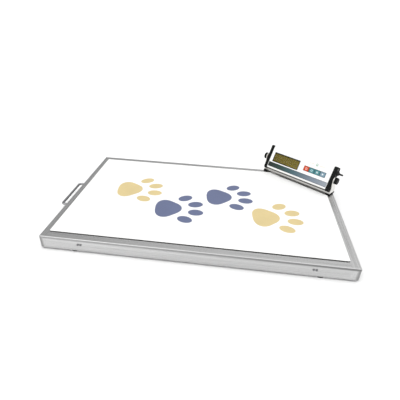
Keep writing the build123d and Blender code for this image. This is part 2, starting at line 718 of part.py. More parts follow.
def end_cap_screws():
    screw = rod_x(CAP_END - 2.2, CAP_END - 0.4, 0, 0, 2.8)
    screw += rod_x(CASE_HALF - 14, CAP_END - 2.2, 0, 0, CAP_SCREW_R)
    screw -= block(CAP_END - 1.2, CAP_END, -1.6, 1.6, -0.4, 0.4)
    screw -= block(CAP_END - 1.2, CAP_END, -0.4, 0.4, -1.6, 1.6)
    placed = [Pos(0, CAP_SCREW_Y, z) * screw for z in CAP_SCREW_Z]
    return group([CASE_POSE * piece for one in placed for piece in (one, mirror(one, Plane.YZ))])


def pivot_inserts():
    """Threaded brass inserts of the end caps."""
    insert = rod_x(INSERT_START, CAP_END, 0, 0, INSERT_R)
    insert -= rod_x(INSERT_START - 1, CAP_END + 1, 0, 0, PIVOT_STUD_R + RUNNING)
    return group([CASE_POSE * insert, CASE_POSE * mirror(insert, Plane.YZ)])


def cable_boot():
    """Tapered rubber boot for the lead: a broad root against the right cap, then a slim tail."""
    tip = BOOT_LENGTH
    neck = BOOT_NECK - RUNNING
    profile = Curve() + [
        Polyline((0, -CAP_WALL), (neck, -CAP_WALL), (neck, 0), (BOOT_ROOT_R, 0), (BOOT_ROOT_R - 0.4, 1.6)),
        Bezier((BOOT_ROOT_R - 0.4, 1.6), (BOOT_ROOT_R - 1.5, 5.0), (4.0, 5.5), (3.6, 9.0)),
        Polyline((3.6, 9.0), (BOOT_TIP_R, tip), (0, tip), (0, -CAP_WALL)),
    ]
    boot = revolve(make_face(profile), Axis.Y)
    boot -= rod_y(0, -CAP_WALL - 1, tip + 1, 0, CORD_R)
    return CASE_POSE * Pos(CAP_END, BOOT_Y, BOOT_Z) * Rot(0, 0, -90) * boot


# ---- Bracket and knobs, in the stand's frame: x along the pivot's axis, z above the deck

def bracket():
    """Steel strip bent into a U: the web lies on two rubber feet, and an arm rises outside each end cap."""
    web_low = STAND_FOOT
    top = PIVOT_RISE + ARM_TOP_R
    outer = block(-ARM_OUT, ARM_OUT, -STRIP_HALF, STRIP_HALF, web_low, top)
    outer = fillet(outer.edges().filter_by(Axis.Y).group_by(Axis.Z)[0], STRIP + 1.0)
    inner = block(-ARM_IN, ARM_IN, -STRIP_HALF - 1, STRIP_HALF + 1, web_low + STRIP, top + 1)
    inner = fillet(inner.edges().filter_by(Axis.Y).group_by(Axis.Z)[0], 1.0)
    strip = outer - inner
    shoulder = web_low + 10.0
    side = Polyline(
        (-ARM_TOP_R, PIVOT_RISE), (-STRIP_HALF, shoulder), (-STRIP_HALF, web_low),
        (STRIP_HALF, web_low), (STRIP_HALF, shoulder), (ARM_TOP_R, PIVOT_RISE),
    )
    crown = ThreePointArc((ARM_TOP_R, PIVOT_RISE), (0, top), (-ARM_TOP_R, PIVOT_RISE))
    strip &= extruded(make_face(Curve() + [side, crown]), -ARM_OUT, ARM_OUT)
    strip -= rod_x(-ARM_OUT - 1, ARM_OUT + 1, 0, PIVOT_RISE, PIVOT_STUD_R + RUNNING)
    for x in (-WALL_HOLE_X, WALL_HOLE_X):
        strip -= post(x, 0, web_low - 1, web_low + STRIP + 1, WALL_HOLE_R)
    return STAND_POSE * strip


def bracket_foot(side):
    x0, x1 = sorted((side * STAND_FOOT_INNER, side * STAND_FOOT_OUTER))
    foot = rounded_block(x0, x1, -STAND_FOOT_HALF, STAND_FOOT_HALF, 0, STAND_FOOT, 3.0)
    return STAND_POSE * foot


def pivot_washers():
    """Friction washers between the arms and the end caps."""
    washer = rod_x(CAP_END + FACE_GAP, ARM_IN, 0, PIVOT_RISE, 10.0)
    washer -= rod_x(CAP_END, ARM_IN + 1, 0, PIVOT_RISE, PIVOT_STUD_R + 0.2)
    return group([STAND_POSE * washer, STAND_POSE * mirror(washer, Plane.YZ)])


def knob_washer(side):
    start = ARM_OUT + FACE_GAP
    washer = rod_x(start, start + KNOB_WASHER, 0, 0, 8.0)
    washer -= rod_x(start - 1, start + KNOB_WASHER + 1, 0, 0, PIVOT_STUD_R + RUNNING)
    return CASE_POSE * (washer if side > 0 else mirror(washer, Plane.YZ))


def knob(side):
    """Fluted clamping knob."""
    start = ARM_OUT + KNOB_WASHER + 2 * FACE_GAP
    end = start + KNOB_LENGTH
    body = rod_x(start, end, 0, 0, KNOB_R)
    body = fillet(body.edges().group_by(Axis.X)[-1], 2.0)
    flutes = 12
    for n in range(flutes):
        turn = Rot(360 * n / flutes, 0, 0)
        body -= turn * rod_x(start - 1, end + 1, KNOB_R + 1.2, 0, 2.0)
    body -= rod_x(start - 1, end - 3.0, 0, 0, PIVOT_STUD_R)
    return CASE_POSE * (body if side > 0 else mirror(body, Plane.YZ))


def knob_stud(side):
    """Threaded stud moulded into the knob, through the arm and into the end cap's insert."""
    end = ARM_OUT + KNOB_WASHER + 2 * FACE_GAP + KNOB_LENGTH - 3.0
    stud = chamfer(rod_x(INSERT_START + 1.0, end, 0, 0, PIVOT_STUD_R).edges().group_by(Axis.X)[0], 0.6)
    return CASE_POSE * (stud if side > 0 else mirror(stud, Plane.YZ))


def all_parts():
    parts = {
        "deck_pan": deck_pan(),
        "mat_backing": mat_backing(),
        "mat_top": mat_top(),
        "frame_rail_front": long_rail(False),
        "frame_rail_rear": long_rail(True),
        "frame_cross_rails": cross_rails(),
        "skirt_screws": skirt_screws(),
        "load_cell_spacers": load_cell_spacers(),
        "load_cell_bolts": load_cell_bolts(),
        "load_cell_leads": load_cell_leads(),
        "lead_clips": lead_clips(),
        "junction_box": junction_box(),
        "junction_lid": junction_lid(),
        "junction_lid_screws": junction_lid_screws(),
        "summing_board": summing_board(),
        "cable_glands": group([box_glands(), rear_gland()]),
        "output_lead": output_lead(),
        "carry_handle": carry_handle(),
        "handle_nuts": handle_nuts(),
        "bracket": bracket(),
        "pivot_washers": pivot_washers(),
        "case_front": case_front(),
        "case_back": case_back(),
        "battery_door": battery_door(),
        "batteries": batteries(),
        "face_panel": face_panel(),
        "display_window": display_window(),
        "display_module": display_module(),
        "main_board": main_board(),
        "board_screws": board_screws(),
        "key_switches": key_switches(),
        "end_cap_screws": end_cap_screws(),
        "pivot_inserts": pivot_inserts(),
        "cable_boot": cable_boot(),
    }
    for name, x, y, sx, _ in CORNERS:
        parts["load_cell_" + name] = load_cell(x, y, sx)
        parts["foot_pad_" + name] = foot_pad(x, y)
        parts["foot_stud_" + name] = foot_stud(x, y)
    for n, name in enumerate(KEYS):
        parts[name] = key(n)
    for name, side in (("left", -1), ("right", 1)):
        parts["end_cap_" + name] = end_cap(side)
        parts["bracket_foot_" + name] = bracket_foot(side)
        parts["knob_washer_" + name] = knob_washer(side)
        parts["knob_" + name] = knob(side)
        parts["knob_stud_" + name] = knob_stud(side)
    return parts


def bottom_centre(parts):
    """Middle of the whole object's box in x and y. The floor is already z = 0."""
    boxes = [part.bounding_box() for part in parts.values()]
    x = (min(b.min.X for b in boxes) + max(b.max.X for b in boxes)) / 2
    y = (min(b.min.Y for b in boxes) + max(b.max.Y for b in boxes)) / 2
    return x, y


PARTS = all_parts()
ORIGIN_X, ORIGIN_Y = bottom_centre(PARTS)
print("nodes", len(PARTS), "origin in the corner frame", ORIGIN_X, ORIGIN_Y)
os.makedirs("parts", exist_ok=True)
for node, shape in PARTS.items():
    export_step(Pos(-ORIGIN_X, -ORIGIN_Y, 0) * shape, f"parts/{node}.step")
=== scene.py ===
"""Looks of the animal weighing scale: materials, prints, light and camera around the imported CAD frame."""

import json
import math

import bmesh
import bpy
from mathutils import Matrix, Vector


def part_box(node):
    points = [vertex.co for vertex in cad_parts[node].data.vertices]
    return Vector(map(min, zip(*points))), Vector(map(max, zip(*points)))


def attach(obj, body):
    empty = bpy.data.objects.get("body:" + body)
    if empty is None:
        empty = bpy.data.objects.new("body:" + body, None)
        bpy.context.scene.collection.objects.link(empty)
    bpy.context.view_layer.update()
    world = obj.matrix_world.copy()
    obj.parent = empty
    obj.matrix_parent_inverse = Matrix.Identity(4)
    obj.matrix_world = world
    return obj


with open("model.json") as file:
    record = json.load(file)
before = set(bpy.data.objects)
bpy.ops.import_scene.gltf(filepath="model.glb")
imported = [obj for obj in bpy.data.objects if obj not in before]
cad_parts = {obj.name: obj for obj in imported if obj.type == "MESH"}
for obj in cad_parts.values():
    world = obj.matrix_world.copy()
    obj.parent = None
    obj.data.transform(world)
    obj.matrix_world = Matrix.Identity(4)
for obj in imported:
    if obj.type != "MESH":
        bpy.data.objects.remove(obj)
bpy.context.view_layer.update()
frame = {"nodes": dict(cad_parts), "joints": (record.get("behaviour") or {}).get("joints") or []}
NODES = frame["nodes"]

# ---- Places, all from the frame -------------------------------------------------------------------

PAN_LOW, PAN_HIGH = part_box("deck_pan")
MAT_LOW, MAT_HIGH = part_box("mat_top")
PAN_CENTRE = (PAN_LOW + PAN_HIGH) / 2
TILT_JOINT = next(j for j in frame["joints"] if j["name"] == "indicator_tilt")
PIVOT = Vector(TILT_JOINT["pos_m"])
ALONG = -Vector(TILT_JOINT["axis"])  # along the case, from its display end to its key end
INTO = Vector(next(j for j in frame["joints"] if j["name"] == "power_press")["axis"])  # into the face
UP_FACE = ALONG.cross(INTO)  # up the face
CASE_FRAME = Matrix((
    (ALONG.x, INTO.x, UP_FACE.x, PIVOT.x),
    (ALONG.y, INTO.y, UP_FACE.y, PIVOT.y),
    (ALONG.z, INTO.z, UP_FACE.z, PIVOT.z),
    (0.0, 0.0, 0.0, 1.0),
))
TO_CASE = CASE_FRAME.inverted()


def case_box(node):
    """Lowest and highest corner of a node in the case's own frame."""
    points = [TO_CASE @ v.co for v in NODES[node].data.vertices]
    low = Vector([min(p[i] for p in points) for i in range(3)])
    high = Vector([max(p[i] for p in points) for i in range(3)])
    return low, high


# ---- Camera and light -----------------------------------------------------------------------------

CAMERA_AT = Vector((PAN_LOW.x + 0.54683, PAN_LOW.y - 0.73990, PAN_HIGH.z + 0.62709))
CAMERA_TURN = 6.41  # degrees to the left of straight ahead
CAMERA_DOWN = 31.58
CAMERA_ROLL = 1.80
LENS = 31.55

# Brightness of the studio in each direction
OVERHEAD = 1.55
WALL_LEFT = 0.40
WALL_RIGHT = 0.85
FRONT_LEFT = 1.1
FRONT_RIGHT = 0.10
BELOW = 1.1
KEY_POWER = 6.0
FLOOR_REACH = 30.0


def aim(obj, target):
    obj.rotation_euler = (Vector(target) - obj.location).to_track_quat("-Z", "Y").to_euler()


def make_camera():
    data = bpy.data.cameras.new("camera")
    data.sensor_width = 36.0
    data.lens = LENS
    camera = bpy.data.objects.new("camera", data)
    turn = Matrix.Rotation(math.radians(CAMERA_TURN), 4, "Z")
    lean = Matrix.Rotation(math.radians(90 - CAMERA_DOWN), 4, "X")
    roll = Matrix.Rotation(math.radians(CAMERA_ROLL), 4, "Z")
    camera.matrix_world = Matrix.Translation(CAMERA_AT) @ turn @ lean @ roll
    bpy.context.scene.collection.objects.link(camera)
    bpy.context.scene.camera = camera


def area_light(name, at, target, size, power):
    data = bpy.data.lights.new(name, "AREA")
    data.shape = "RECTANGLE"
    data.size, data.size_y = size
    data.energy = power
    light = bpy.data.objects.new(name, data)
    light.location = at
    aim(light, target)
    bpy.context.scene.collection.objects.link(light)


def make_light():
    """A white studio, bright overhead, with walls that are dimmest at the left back and right front."""
    world = bpy.data.worlds.new("studio")
    bpy.context.scene.world = world
    world.use_nodes = True
    n = Nodes(world.node_tree)
    direction = world.node_tree.nodes.new("ShaderNodeTexCoord").outputs["Generated"]
    x, y, z = n.split(direction)[:3]
    back_wall = n.spread(x, -0.45, 0.40, WALL_LEFT, WALL_RIGHT)
    front_wall = n.spread(x, -0.55, 0.0, FRONT_LEFT, FRONT_RIGHT)
    back_sky = n.spread(z, 0.55, 0.95, back_wall, OVERHEAD)
    front_sky = n.spread(z, 0.25, 0.60, front_wall, OVERHEAD)
    sky = n.spread(y, -0.1, 0.3, front_sky, back_sky)
    strength = n.spread(z, -0.02, 0.0, BELOW, sky)
    background = world.node_tree.nodes["Background"]
    background.inputs["Color"].default_value = (1, 1, 1, 1)
    world.node_tree.links.new(strength, background.inputs["Strength"])
    area_light("key", (-1.2, -1.4, 2.2), (0, 0, 0), (1.6, 1.6), KEY_POWER)
    bpy.context.scene.view_settings.view_transform = "Standard"


# ---- Material helpers -----------------------------------------------------------------------------

class Nodes:
    """Short calls for the nodes of one tree."""

    def __init__(self, tree):
        self.tree = tree

    def node(self, kind, **inputs):
        made = self.tree.nodes.new(kind)
        for key, value in inputs.items():
            self.feed(made, key.replace("_", " "), value)
        return made

    def feed(self, node, socket, value):
        if isinstance(value, bpy.types.NodeSocket):
            self.tree.links.new(value, node.inputs[socket])
        else:
            node.inputs[socket].default_value = value

    def position(self, frame_matrix=None, scale=(1, 1, 1)):
        """Object coordinates, in metres in the row frame, or in another frame."""
        out = self.tree.nodes.new("ShaderNodeTexCoord").outputs["Object"]
        if frame_matrix is not None:
            place = frame_matrix.inverted()
            mapping = self.tree.nodes.new("ShaderNodeMapping")
            mapping.vector_type = "POINT"
            mapping.inputs["Rotation"].default_value = place.to_euler("XYZ")
            mapping.inputs["Location"].default_value = place.to_translation()
            self.tree.links.new(out, mapping.inputs["Vector"])
            out = mapping.outputs["Vector"]
        if tuple(scale) != (1, 1, 1):
            mapping = self.tree.nodes.new("ShaderNodeMapping")
            mapping.inputs["Scale"].default_value = scale
            self.tree.links.new(out, mapping.inputs["Vector"])
            out = mapping.outputs["Vector"]
        return out

    def split(self, vector):
        return self.node("ShaderNodeSeparateXYZ", Vector=vector).outputs

    def noise(self, vector, scale, detail=3.0, rough=0.5):
        made = self.node("ShaderNodeTexNoise", Vector=vector, Scale=scale, Detail=detail, Roughness=rough)
        return made.outputs["Fac"]

    def math(self, operation, *values):
        made = self.tree.nodes.new("ShaderNodeMath")
        made.operation = operation
        for index, value in enumerate(values):
            self.feed(made, index, value)
        return made.outputs[0]

    def spread(self, value, low, high, to_low, to_high):
        made = self.tree.nodes.new("ShaderNodeMapRange")
        for index, given in enumerate((value, low, high, to_low, to_high)):
            self.feed(made, index, given)
        return made.outputs[0]

    def ramp(self, value, *stops):
        made = self.tree.nodes.new("ShaderNodeValToRGB")
        elements = made.color_ramp.elements
        while len(elements) < len(stops):
            elements.new(0.5)
        for element, (place, colour) in zip(elements, stops):
            element.position = place
            element.color = (*colour, 1.0)
        self.feed(made, "Fac", value)
        return made.outputs["Color"]

    def mix(self, factor, first, second):
        made = self.tree.nodes.new("ShaderNodeMix")
        made.data_type = "RGBA"
        for index, value in ((0, factor), (6, first), (7, second)):
            if isinstance(value, tuple):
                value = (*value, 1.0)
            self.feed(made, index, value)
        return made.outputs[2]


class Shader(Nodes):
    """A Principled material, and the nodes that feed it."""

    def __init__(self, name, colour=(0.8, 0.8, 0.8), rough=0.5, metal=0.0, **sockets):
        self.material = bpy.data.materials.new(name)
        self.material.use_nodes = True
        super().__init__(self.material.node_tree)
        self.bsdf = self.tree.nodes["Principled BSDF"]
        self.set("Base Color", (*colour, 1.0))
        self.set("Roughness", rough)
        self.set("Metallic", metal)
        for socket, value in sockets.items():
            self.set(socket.replace("_", " "), value)

    def set(self, socket, value):
        self.bsdf.inputs[socket].default_value = value

    def link(self, socket, value):
        self.tree.links.new(value, self.bsdf.inputs[socket])

    def bump(self, height, strength, distance):
        made = self.node("ShaderNodeBump", Height=height, Strength=strength, Distance=distance)
        self.link("Normal", made.outputs["Normal"])


def paint(material, *nodes):
    for name in nodes:
        mesh = NODES[name].data
        mesh.materials.clear()
        mesh.materials.append(material)


# ---- Materials ------------------------------------------------------------------------------------

STEEL = (0.56, 0.56, 0.56)
FOLD = 0.003  # outer radius of the pan's folds
CORNER_SHADE_WIDTH = 0.012  # width of the painted shade that darkens each end of a skirt
FOLD_REFLECTION_AT = 0.0042  # painted reflection: a dark line along the front fold, this far below the top
SHADED_LIP_TOP = -0.0402  # top of the painted shade on the case's lower lip, from the tilt axis along the face
BAND_TOP = -0.0165  # top of the panel's dark band, from the tilt axis along the face
BAND_RISE = 0.0022  # white below the band
KEY_HALF_HEIGHT = 0.0092
RING_PITCH = 0.0026  # of the rings along the boot


def scaled(colour, factor):
    return tuple(min(1.0, c * factor) for c in colour)


def brushed(name, colour, rough, grain, strength=0.10, spread=0.10):
    """Brushed metal: long fine scratches along grain's small number."""
    s = Shader(name, colour, rough, 1.0)
    scratch = s.noise(s.position(scale=grain), 1.0, 4.0, 0.6)
    cloud = s.noise(s.position(), 6.0, 2.0)
    shade = s.math("ADD", s.math("MULTIPLY", scratch, 0.6), s.math("MULTIPLY", cloud, 0.4))
    s.link("Base Color", s.mix(shade, scaled(colour, 0.86), scaled(colour, 1.08)))
    s.link("Roughness", s.spread(scratch, 0.3, 0.7, rough - spread / 2, rough + spread / 2))
    s.bump(scratch, strength, 0.0002)
    return s.material


def deck_material():
    """Brushed sheet, with painted shade darkening the ends of the skirts and a painted reflection, a dark
    line under the front fold.
    """
    s = Shader("stainless_sheet", STEEL, 0.3, 1.0)
    x, y, z = s.split(s.position())[:3]
    beside_mat = s.math("ADD", s.math("GREATER_THAN", x, MAT_HIGH.x), s.math("LESS_THAN", x, MAT_LOW.x))

    def grain(fine, long):
        across = s.noise(s.position(scale=(long, fine, fine)), 1.0, 5.0, 0.65)
        lengthways = s.noise(s.position(scale=(fine, long, fine)), 1.0, 5.0, 0.65)
        return s.spread(beside_mat, 0.0, 1.0, across, lengthways)

    fine = grain(800.0, 6.0)
    broad = grain(170.0, 1.2)
    shade = s.spread(s.math("ADD", fine, broad), 0.65, 1.35, 0.0, 1.0)
    sheet = s.mix(shade, scaled(STEEL, 0.74), scaled(STEEL, 1.16))
    from_middle = s.math("ABSOLUTE", s.math("SUBTRACT", x, PAN_CENTRE.x))
    half = (PAN_HIGH.x - PAN_LOW.x) / 2
    # painted shade: the ends of the skirts are darkened where they meet the corners
    corner_shade = s.spread(from_middle, half - CORNER_SHADE_WIDTH, half - CORNER_SHADE_WIDTH / 2, 0.0, 0.75)
    below_fold = s.math("LESS_THAN", z, PAN_HIGH.z - FOLD)
    painted_corner_shade = s.math("MULTIPLY", corner_shade, below_fold)
    # painted reflection: a dark line along the front fold, stronger towards the right end
    from_fold = s.math("ABSOLUTE", s.math("SUBTRACT", z, PAN_HIGH.z - FOLD_REFLECTION_AT))
    fold_reflection_line = s.spread(from_fold, 0.0020, 0.0040, 1.0, 0.0)
    front = s.math("LESS_THAN", y, PAN_LOW.y + FOLD)
    along = s.spread(x, PAN_LOW.x + 0.25, PAN_HIGH.x, 0.55, 0.95)
    painted_fold_reflection = s.math("MULTIPLY", s.math("MULTIPLY", fold_reflection_line, front), along)
    s.link("Base Color", s.mix(s.math("MAXIMUM", painted_corner_shade, painted_fold_reflection), sheet, scaled(STEEL, 0.35)))
    s.link("Roughness", s.spread(fine, 0.3, 0.7, 0.22, 0.36))
    s.bump(fine, 0.10, 0.0002)
    return s.material


def moulded(name, colour, rough=0.45, grain=900.0, strength=0.12, variation=0.06, **sockets):
    """Moulded plastic with a fine spark grain and slight unevenness."""
    s = Shader(name, colour, rough, 0.0, **sockets)
    cloud = s.noise(s.position(), 18.0, 2.0)
    fine = s.noise(s.position(), grain, 2.0)
    s.link("Base Color", s.mix(cloud, scaled(colour, 1 - variation), scaled(colour, 1 + variation)))
    s.link("Roughness", s.spread(fine, 0.3, 0.7, rough - 0.06, rough + 0.06))
    s.bump(fine, strength, 0.0001)
    return s.material


def rubber(name, colour=(0.010, 0.010, 0.010)):
    return moulded(name, colour, 0.72, 1400.0, 0.25, 0.15, Specular_IOR_Level=0.12)


def mat_material():
    """Matt white mat skin with a fine pebbled surface and faint scuffs."""
    s = Shader("mat_skin", (0.92, 0.92, 0.91), 0.5)
    pebble = s.noise(s.position(), 1300.0, 2.0)
    scuffs = s.spread(s.noise(s.position(scale=(9, 60, 9)), 1.0, 6.0, 0.7), 0.62, 0.80, 0.0, 1.0)
    cloud = s.noise(s.position(), 5.0, 3.0)
    skin = s.mix(cloud, (0.89, 0.89, 0.88), (0.93, 0.93, 0.92))
    s.link("Base Color", s.mix(scuffs, skin, (0.82, 0.82, 0.80)))
    s.link("Roughness", s.spread(pebble, 0.3, 0.7, 0.42, 0.58))
    s.bump(pebble, 0.15, 0.0001)
    return s.material


def case_material():
    """White case: a parting line between its two shells, and painted shade on its lower lip, which faces
    down.
    """
    white = (0.84, 0.84, 0.82)
    s = Shader("case_moulding", white, 0.4)
    _, y, z = s.split(s.position(CASE_FRAME))[:3]
    _, front_high = case_box("case_front")
    fine = s.noise(s.position(), 1100.0, 2.0)
    cloud = s.noise(s.position(), 18.0, 2.0)
    shell = s.mix(cloud, scaled(white, 0.96), scaled(white, 1.03))
    from_seam = s.math("ABSOLUTE", s.math("SUBTRACT", y, front_high.y))
    seam = s.spread(from_seam, 0.0002, 0.0005, 0.85, 0.0)
    # painted shade: the lower lip, which faces down, is darkened
    painted_lip_shade = s.spread(z, SHADED_LIP_TOP - 0.0006, SHADED_LIP_TOP, 1.0, 0.0)
    seam_and_lip_shade = s.math("MAXIMUM", seam, painted_lip_shade)
    s.link("Base Color", s.mix(seam_and_lip_shade, shell, (0.045, 0.043, 0.038)))
    s.link("Roughness", s.spread(fine, 0.3, 0.7, 0.34, 0.46))
    s.bump(fine, 0.10, 0.0001)
    return s.material


def panel_material():
    """White printed panel with a dark band that fades from green to blue-grey along it."""
    s = Shader("panel_print", (0.88, 0.88, 0.88), 0.4, Specular_IOR_Level=0.25)
    x, _, z = s.split(s.position(CASE_FRAME))[:3]
    low, high = case_box("face_panel")
    band_low = low.z + BAND_RISE
    band = s.math("MULTIPLY", s.math("GREATER_THAN", z, band_low), s.math("LESS_THAN", z, BAND_TOP))
    along = s.spread(x, low.x, high.x, 0.0, 1.0)
    hue = s.ramp(along, (0.0, (0.012, 0.017, 0.014)), (0.22, (0.022, 0.052, 0.044)),
                 (0.45, (0.060, 0.120, 0.140)), (0.75, (0.18, 0.22, 0.27)), (1.0, (0.30, 0.33, 0.37)))
    edge = s.math("MINIMUM", s.math("SUBTRACT", BAND_TOP, z), s.math("SUBTRACT", z, band_low))
    outline = s.spread(edge, 0.0006, 0.0016, 0.75, 0.0)
    band_colour = s.mix(outline, hue, (0.012, 0.018, 0.016))
    speckle = s.noise(s.position(), 900.0, 2.0)
    white = s.mix(speckle, (0.86, 0.86, 0.86), (0.90, 0.90, 0.90))
    s.link("Base Color", s.mix(band, white, band_colour))
    s.bump(speckle, 0.06, 0.0001)
    return s.material


def display_material():
    """Olive liquid crystal in a dark frame, with painted shade that makes it darker towards its top left.
    """
    s = Shader("display_lcd", (0.2, 0.18, 0.08), 0.5, Specular_IOR_Level=0.15)
    x, _, z = s.split(s.position(CASE_FRAME))[:3]
    low, high = case_box("display_window")
    from_left = s.math("SUBTRACT", x, low.x + 0.0010)
    from_right = s.math("SUBTRACT", high.x - 0.0030, x)
    from_bottom = s.math("SUBTRACT", z, low.z + 0.0022)
    from_top = s.math("SUBTRACT", high.z - 0.0038, z)
    sideways = s.math("MINIMUM", from_left, from_right)
    upright = s.math("MINIMUM", from_bottom, from_top)
    inside = s.spread(s.math("MINIMUM", sideways, upright), 0.0, 0.0008, 0.0, 1.0)
    # painted shade: the crystal gets lighter towards the right and the bottom
    to_right = s.spread(x, low.x, high.x, 0.0, 0.6)
    to_bottom = s.spread(z, high.z, low.z, 0.0, 0.4)
    lit = s.math("ADD", to_right, to_bottom)
    olive = s.mix(lit, (0.150, 0.122, 0.022), (0.235, 0.190, 0.044))
    s.link("Base Color", s.mix(inside, (0.020, 0.021, 0.012), olive))
    return s.material


def key_material(node, colour):
    """Key cap with a painted highlight that makes it pale in the middle and painted shade that makes it
    dark along its upper and outer edges.
    """
    s = Shader(node + "_cap", colour, 0.4, Specular_IOR_Level=0.25)
    x, _, z = s.split(s.position(CASE_FRAME))[:3]
    low, high = case_box(node)
    centre = (low + high) / 2
    reach_x = s.math("DIVIDE", s.math("ABSOLUTE", s.math("SUBTRACT", x, centre.x)), (high.x - low.x) / 2)
    reach_z = s.math("DIVIDE", s.math("ABSOLUTE", s.math("SUBTRACT", z, centre.z)), KEY_HALF_HEIGHT)
    reach = s.math("MAXIMUM", reach_x, reach_z)
    # painted highlight in the middle and painted shade along the edges of the cap
    painted_key_highlight = s.spread(reach, 0.1, 0.75, 1.0, 0.0)
    painted_rim_shade = s.spread(reach, 0.84, 0.98, 0.0, 0.85)
    face = s.mix(painted_key_highlight, colour, scaled(colour, 1.55))
    s.link("Base Color", s.mix(painted_rim_shade, face, scaled(colour, 0.22)))
    s.bump(s.noise(s.position(), 1200.0, 2.0), 0.08, 0.0001)
    return s.material


def boot_material():
    """Black rubber with the rings of a strain relief along it."""
    s = Shader("boot_rubber", (0.010, 0.010, 0.010), 0.7)
    x = s.split(s.position(CASE_FRAME))[0]
    rings = s.math("SINE", s.math("MULTIPLY", x, 2 * math.pi / RING_PITCH))
    s.bump(rings, 0.5, 0.0006)
    s.link("Roughness", s.spread(s.noise(s.position(), 900.0, 2.0), 0.3, 0.7, 0.62, 0.78))
    return s.material


def finish_materials():
    """Every CAD node gets its material."""
    cells = [n for n in NODES if n.startswith("load_cell_") and n.split("_")[2] in ("front", "rear")]
    studs = [n for n in NODES if n.startswith("foot_stud")]
    pads = [n for n in NODES if n.startswith("foot_pad")]
    paint(deck_material(), "deck_pan")
    paint(brushed("zinc_frame", (0.50, 0.51, 0.52), 0.45, (20, 300, 300), 0.05), "frame_rail_front",
          "frame_rail_rear", "frame_cross_rails")
    paint(brushed("machined_alloy", (0.70, 0.71, 0.72), 0.34, (500, 500, 60)), "load_cell_spacers", *cells)
    paint(brushed("zinc_plate", (0.56, 0.57, 0.59), 0.32, (700, 700, 700), 0.05), "load_cell_bolts",
          "junction_lid_screws", "handle_nuts", "board_screws", "knob_washer_left", "knob_washer_right",
          "knob_stud_left", "knob_stud_right", *studs)
    paint(brushed("dark_screw", (0.24, 0.24, 0.25), 0.4, (700, 700, 700), 0.05), "skirt_screws",
          "end_cap_screws")
    paint(brushed("handle_rod", (0.30, 0.30, 0.31), 0.28, (700, 40, 700)), "carry_handle")
    paint(brushed("bracket_strip", (0.74, 0.73, 0.70), 0.30, (40, 40, 900)), "bracket")
    paint(rubber("mat_edge_rubber"), "mat_backing")
    paint(rubber("black_rubber"), "bracket_foot_left", "bracket_foot_right", *pads)
    paint(moulded("lead_sheath", (0.16, 0.165, 0.17), 0.5), "load_cell_leads", "output_lead")
    black = moulded("black_moulding", (0.004, 0.005, 0.0045), 0.5, Specular_IOR_Level=0.12)
    paint(black, "lead_clips", "cable_glands", "end_cap_left", "end_cap_right", "key_switches")
    paint(moulded("knob_moulding", (0.004, 0.005, 0.004), 0.45, Specular_IOR_Level=0.14), "knob_left",
          "knob_right")
    paint(moulded("grey_moulding", (0.33, 0.35, 0.36), 0.5), "junction_box", "junction_lid")
    paint(moulded("board_lacquer", (0.03, 0.16, 0.07), 0.3), "summing_board", "main_board")
    paint(case_material(), "case_front", "case_back", "battery_door")
    paint(moulded("battery_sleeve", (0.05, 0.16, 0.40), 0.25), "batteries")
    paint(moulded("fibre", (0.10, 0.065, 0.04), 0.7), "pivot_washers")
    paint(brushed("turned_brass", (0.72, 0.54, 0.24), 0.3, (60, 900, 900)), "pivot_inserts")
    paint(key_material("key_power", (0.50, 0.062, 0.018)), "key_power")
    paint(key_material("key_tare", (0.062, 0.205, 0.225)), "key_tare")
    paint(key_material("key_hold", (0.062, 0.205, 0.225)), "key_hold")
    paint(key_material("key_mode", (0.16, 0.25, 0.31)), "key_mode")
    paint(mat_material(), "mat_top")
    paint(panel_material(), "face_panel")
    paint(display_material(), "display_module")
    glass = Shader("display_glass", (0.95, 0.93, 0.78), 0.05, 0.0, Transmission_Weight=1.0, IOR=1.15)
    paint(glass.material, "display_window")
    paint(boot_material(), "cable_boot")


# ---- Printed details, as thin raised prints -------------------------------------------------------

INK = 0.00005  # thickness of a print


def oval(centre, radii, turn=0.0, count=32):
    """Outline of an ellipse in a plane."""
    points = []
    for n in range(count):
        angle = 2 * math.pi * n / count
        x, y = radii[0] * math.cos(angle), radii[1] * math.sin(angle)
        points.append((centre[0] + x * math.cos(turn) - y * math.sin(turn),
                       centre[1] + x * math.sin(turn) + y * math.cos(turn)))
    return points


def bar(x0, x1, y0, y1):
    return [(x0, y0), (x1, y0), (x1, y1), (x0, y1)]


def prints(name, outlines, place, material, body):
    """One object of flat prints: closed outlines in the XY plane of place, raised along its Z."""
    mesh = bpy.data.meshes.new(name)
    made = bmesh.new()
    for outline in outlines:
        face = made.faces.new([made.verts.new((x, y, 0.0)) for x, y in outline])
        raised = bmesh.ops.extrude_face_region(made, geom=[face])
        tops = [v for v in raised["geom"] if isinstance(v, bmesh.types.BMVert)]
        bmesh.ops.translate(made, verts=tops, vec=(0.0, 0.0, INK))
    bmesh.ops.recalc_face_normals(made, faces=made.faces)
    made.transform(place)
    made.to_mesh(mesh)
    made.free()
    piece = bpy.data.objects.new(name, mesh)
    bpy.context.scene.collection.objects.link(piece)
    mesh.materials.append(material)
    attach(piece, body)


def ring(centre, radius, width, gap=0.0, count=40):
    """Outlines of a ring's two halves, or of an open ring with a gap at its top."""
    start, end = math.pi / 2 + gap, math.pi / 2 + 2 * math.pi - gap
    middle = (start + end) / 2
    halves = []
    for low, high in ((start, middle), (middle, end)):
        angles = [low + (high - low) * n / (count // 2) for n in range(count // 2 + 1)]
        outer = [(centre[0] + radius * math.cos(a), centre[1] + radius * math.sin(a)) for a in angles]
        inner = [(centre[0] + (radius - width) * math.cos(a), centre[1] + (radius - width) * math.sin(a))
                 for a in reversed(angles)]
        halves.append(outer + inner)
    return halves


